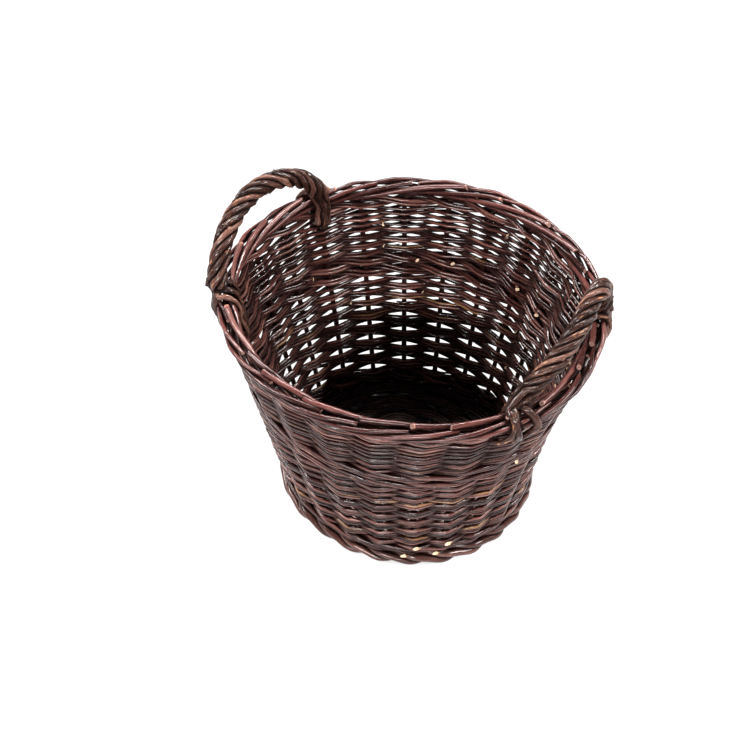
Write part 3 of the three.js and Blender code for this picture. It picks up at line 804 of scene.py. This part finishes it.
# Handles: six twisted rods laid round a bow, their ends taken over and through the wall. Middle is
# where a handle stands, in degrees, and spread how far each leg is from there. Outer and inner are
# how far its two legs are from the axis.
handle = dict(bow=9.0, rope=6.9, turns=2.75, ropeRods=6, ropeFrom=13, ropeLength=250, clear=0.1,
              wander=(0.9, 60), thickEnd=1.12, thinEnd=0.88, ridge=0.11, bud=0.8, bowSpacing=3,
              ropeSpacing=2.2, middleSpacing=2.0)
handles = dict(
    right=dict(middle=-3.5, spread=27.7, outer=201.2, inner=187.2, rise=69.6, skew=0.58, lean=-1.4),
    left=dict(middle=179.8, spread=29.6, outer=209.2, inner=186.5, rise=76.0, skew=0.01, lean=-7.0))
# Where the bow's legs go in the wall, from the rim: outwards and up
outerLeg = [(-1.5, -46), (2.5, -32), (12, -14.5)]
innerLeg = [(-14.9, -10), (-15, -20), (-8, -30)]
# Where each rope rod goes below the rope, from the leg: along, outwards, up
outerWays = [
    [(6, 9.5, 6), (8, 11.5, -6), (10, 8, -19), (11, 4, -30), (13, -8, -36), (16, -17, -40)],
    [(0, 10.5, 6), (1, 12, -7), (2, 8.5, -21), (2, 5, -33), (-6, 1, -40), (-13, -8, -44),
     (-18, -16, -46)],
    [(-6, 9.5, 5), (-9, 11.5, -6), (-12, 8, -18), (-13, 4, -29), (-15, -7, -35), (-18, -17, -38)],
    [(-8, 8, 11), (-12, 0, 13.5), (-15, -9, 9), (-16, -14, -3), (-17, -14, -18), (-17, -19, -34),
     (-16, -21, -50)],
    [(2, 5, 14), (2, -4, 14), (0, -12, 7), (-1, -15, -6), (-2, -15.5, -22), (-3, -20, -38),
     (-3, -22, -56)],
    [(9, 8, 11), (12, 1, 13.5), (15, -8, 10), (15, -14, -2), (15, -14, -17), (14, -18, -30),
     (10, -21, -44)],
]
innerWays = [
    [(-6, -15, 4), (-7, -14.5, -6), (-6, -15.5, -15), (-5, -17, -22), (-5, -8, -29)],
    [(0, -17, 3), (0, -16.5, -8), (0, -18, -18), (1, -19, -26), (1, -9, -33)],
    [(6, -15, 3), (7, -14.5, -6), (8, -15.5, -13), (8, -17, -20), (8, -8, -26)],
    [(6, -5, 14), (9, 5, 13), (14, 12, 4), (16, 13, -8), (12, 8, -20), (4, 5, -27), (-4, -3, -31),
     (-8, -8, -33)],
    [(-2, -3, 14.5), (-5, 5, 13.5), (-9, 12, 6), (-12, 13, -6), (-15, 9, -17), (-20, 4, -25),
     (-24, -5, -30)],
    [(-8, -5, 13), (-9, 4, 13), (-8, 12, 5), (-6, 14, -7), (-2, 9, -19), (3, 5, -28), (7, -3, -33),
     (10, -8, -36)],
]


def rimPoint(leg, u, w, z):  # along the rim from the leg's stake, outwards from the braid, above it
    return polar(leg + u / border["radius"], border["radius"] + w, border["height"] + z)


def archPath(shape):
    turn = np.linspace(0, math.pi, 240)
    angle = np.radians(shape["middle"] + shape["spread"] * np.cos(turn))
    radius = shape["inner"] + (shape["outer"] - shape["inner"]) * (1 + np.cos(turn)) / 2
    rise = shape["rise"] * np.sin(turn) * (1 + shape["skew"] * np.cos(turn))
    return polar(angle, radius + shape["lean"] * np.sin(turn), border["height"] + rise)


def bowRod(shape, legs, arch, seed):
    out, into = shape["outer"] - border["radius"], shape["inner"] - border["radius"]
    first = [rimPoint(legs[0], 0, w, z) for w, z in outerLeg + [(out, -4)]]
    last = [rimPoint(legs[1], 0, w, z) for w, z in [(into, -3)] + innerLeg]
    path = np.concatenate([spline(first, 8)[:-1], arch[6:-6], spline(last, 8)])
    path = evenly(spline(path[::4], 6), handle["bowSpacing"])
    return rod(path, handle["bow"] / 2, seed, cut=(0.4, 0.4))


def ropeRod(j, legs, centre, frames, phase, seed):
    forward, across, up = frames
    share = np.linspace(0, 1, len(centre))
    turn = phase + 2 * math.pi * (handle["turns"] * share + j / handle["ropeRods"])
    size, length = handle["wander"]
    away = handle["bow"] / 2 + handle["rope"] / 2 + handle["clear"]
    away = away + size * drift(share * handle["ropeLength"], seed, length)
    wound = centre + away[:, None] * (across * np.cos(turn)[:, None] + up * np.sin(turn)[:, None])
    first, last = (ways[(j + 1) % handle["ropeRods"]] for ways in (outerWays, innerWays))
    start = [rimPoint(legs[0], *p) for p in reversed(first)]
    end = [rimPoint(legs[1], *p) for p in last]
    path = evenly(spline(start + list(wound[3:-3:4]) + end, 8), handle["ropeSpacing"])
    way = along(path) / along(path)[-1]
    change = handle["thickEnd"] - handle["thinEnd"]  # every other rod is laid with its butt first
    taper = handle["thickEnd"] - change * way if j % 2 else handle["thinEnd"] + change * way
    return rod(path, handle["rope"] / 2 * taper, seed, cut=(0.6, 0.6), ridge=handle["ridge"],
               bud=handle["bud"])


def addHandle(side):
    shape = handles[side]
    legs = np.radians((shape["middle"] + shape["spread"], shape["middle"] - shape["spread"]))
    arch = archPath(shape)
    bow = bowRod(shape, legs, arch, 500 + len(side))
    planPiece(f"{side}HandleBow", [bow], 12, [f"{side}_handle_bow"], "handle_willow", barks["handle"])
    roped = arch[arch[:, 2] > border["height"] + handle["ropeFrom"]]
    centre = evenly(roped, handle["middleSpacing"])
    frames = turningFrames(centre, False)
    outward = polar(np.radians(shape["middle"]), 1, 0)
    phase = math.atan2(outward.dot(frames[2][0]), outward.dot(frames[1][0]))
    rods = [ropeRod(j, legs, centre, frames, phase, 500 + 20 * len(side) + j)
            for j in range(handle["ropeRods"])]
    for number in range(3):
        planPiece(f"{side}HandleRope{number + 1}", rods[2 * number:2 * number + 2], 14,
                  [f"{side}_handle_rope_{number + 1}"], "handle_willow", barks["handle"])


for side in handles:
    addHandle(side)
print("handles: bows and rope rods")

# how crowded the willow is all round, which sets the painted shade in the hollows
crowding = fillCrowd([item for plan in pieces for item in plan["rods"]])
for plan in pieces:
    buildPiece(crowding, **plan)
print("pieces:", len(pieces), "of", sum(len(plan["rods"]) for plan in pieces), "rods")


# Pale floor that shows as white to the camera and keeps a faint shadow. Nearer to the axis than the
# first distance in beside, under the basket, it stays dark.
floorLook = dict(size=6.0, pale=0.82, white=0.86, beside=(0.138, 0.149))


def floorMaterial():
    material, s = newMaterial("paleFloor")
    path = lambda output: s.node("ShaderNodeLightPath", {}, {}, output)
    seen = (path("Is Camera Ray") + path("Is Glossy Ray") + path("Is Transmission Ray")).clamped()
    matt = s.node("ShaderNodeBsdfDiffuse", {}, {"Color": (*[floorLook["pale"]] * 3, 1)})
    white = s.node("ShaderNodeEmission", {}, {"Color": (1, 1, 1, 1), "Strength": 1.0})
    place = s.node("ShaderNodeNewGeometry", {}, {}, "Position")
    away = place.node("ShaderNodeVectorMath", dict(operation="LENGTH"), {0: place}, "Value")
    share = seen * away.between(*floorLook["beside"]) * floorLook["white"]
    shader = s.node("ShaderNodeMixShader", {}, {0: share, 1: matt, 2: white})
    s.node("ShaderNodeOutputMaterial", {}, {"Surface": shader})
    return material


def addFloor():
    data = bpy.data.meshes.new("floor")
    size = floorLook["size"]
    corners = [(-size, -size, 0), (size, -size, 0), (size, size, 0), (-size, size, 0)]
    data.from_pydata(corners, [], [(0, 1, 2, 3)])
    data.materials.append(floorMaterial())
    floor = bpy.data.objects.new("floor", data)
    bpy.context.scene.collection.objects.link(floor)


addFloor()


# Studio: four wide strip lamps, which draw a thin light line along each rod, in a dim room. Turns are
# from the camera's side, and lamps are sized and placed in metres.
view = dict(azimuth=-62.3, elevation=47.8, distance=2.6375, target=(-50.7, 177.2), roll=0.2, lens=106.41)
lamps = dict(
    left=dict(turn=-98, elevation=38, distance=2.2, size=(1.9, 0.16), power=73),
    right=dict(turn=85, elevation=38, distance=2.2, size=(1.9, 0.16), power=74),
    back=dict(turn=178, elevation=62, distance=2.3, size=(2.2, 0.16), power=120),
    front=dict(turn=-8, elevation=27, distance=2.8, size=(2.2, 0.18), power=128),
)
lampAim = Vector((0, 0, 0.15))
room = dict(level=0.12, overhead=0.05)


def toPlace(azimuth, elevation, distance):
    a, e = math.radians(azimuth), math.radians(elevation)
    return Vector((math.cos(a) * math.cos(e), math.sin(a) * math.cos(e), math.sin(e))) * distance


def addLamp(name, look):
    data = bpy.data.lights.new(name, "AREA")
    data.shape = "ELLIPSE"
    data.size, data.size_y = look["size"]
    data.energy = look["power"]
    lamp = bpy.data.objects.new(name, data)
    lamp.location = lampAim + toPlace(view["azimuth"] + look["turn"], look["elevation"], look["distance"])
    lamp.rotation_mode = "QUATERNION"
    lamp.rotation_quaternion = (lampAim - lamp.location).to_track_quat("-Z", "Y")
    bpy.context.scene.collection.objects.link(lamp)


for name, look in lamps.items():
    addLamp(name, look)


def addRoom():
    world = bpy.data.worlds.new("studio")
    bpy.context.scene.world = world
    world.use_nodes = True
    world.node_tree.nodes.clear()
    s = Shade(world.node_tree)
    where = s.node("ShaderNodeTexCoord", {}, {}, "Generated")
    height = s.node("ShaderNodeSeparateXYZ", {}, {0: where}, 2)
    level = s.node("ShaderNodeMapRange", {}, {"Value": height, "From Min": 0.0, "From Max": 1.0,
                                              "To Min": room["level"], "To Max": room["overhead"]})
    light = s.node("ShaderNodeBackground", {}, {"Color": (1, 1, 1, 1), "Strength": level})
    s.node("ShaderNodeOutputWorld", {}, {"Surface": light})


addRoom()


def addCamera():  # its target is so many millimetres to the side of the axis, and so high
    data = bpy.data.cameras.new("camera")
    data.lens = view["lens"]
    data.sensor_width = 36.0
    data.clip_start, data.clip_end = 0.1, 20.0
    camera = bpy.data.objects.new("camera", data)
    turn = math.radians(view["azimuth"] + 90)
    sideways, height = view["target"]
    aim = Vector((sideways * math.cos(turn), sideways * math.sin(turn), height)) * mm
    camera.location = toPlace(view["azimuth"], view["elevation"], view["distance"])
    camera.rotation_mode = "QUATERNION"
    look = (aim - camera.location).to_track_quat("-Z", "Y")
    camera.rotation_quaternion = look @ Quaternion((0, 0, 1), math.radians(view["roll"]))
    bpy.context.scene.collection.objects.link(camera)
    bpy.context.scene.camera = camera


addCamera()
bpy.context.scene.view_settings.view_transform = "Standard"

print("camera, lamps and floor")
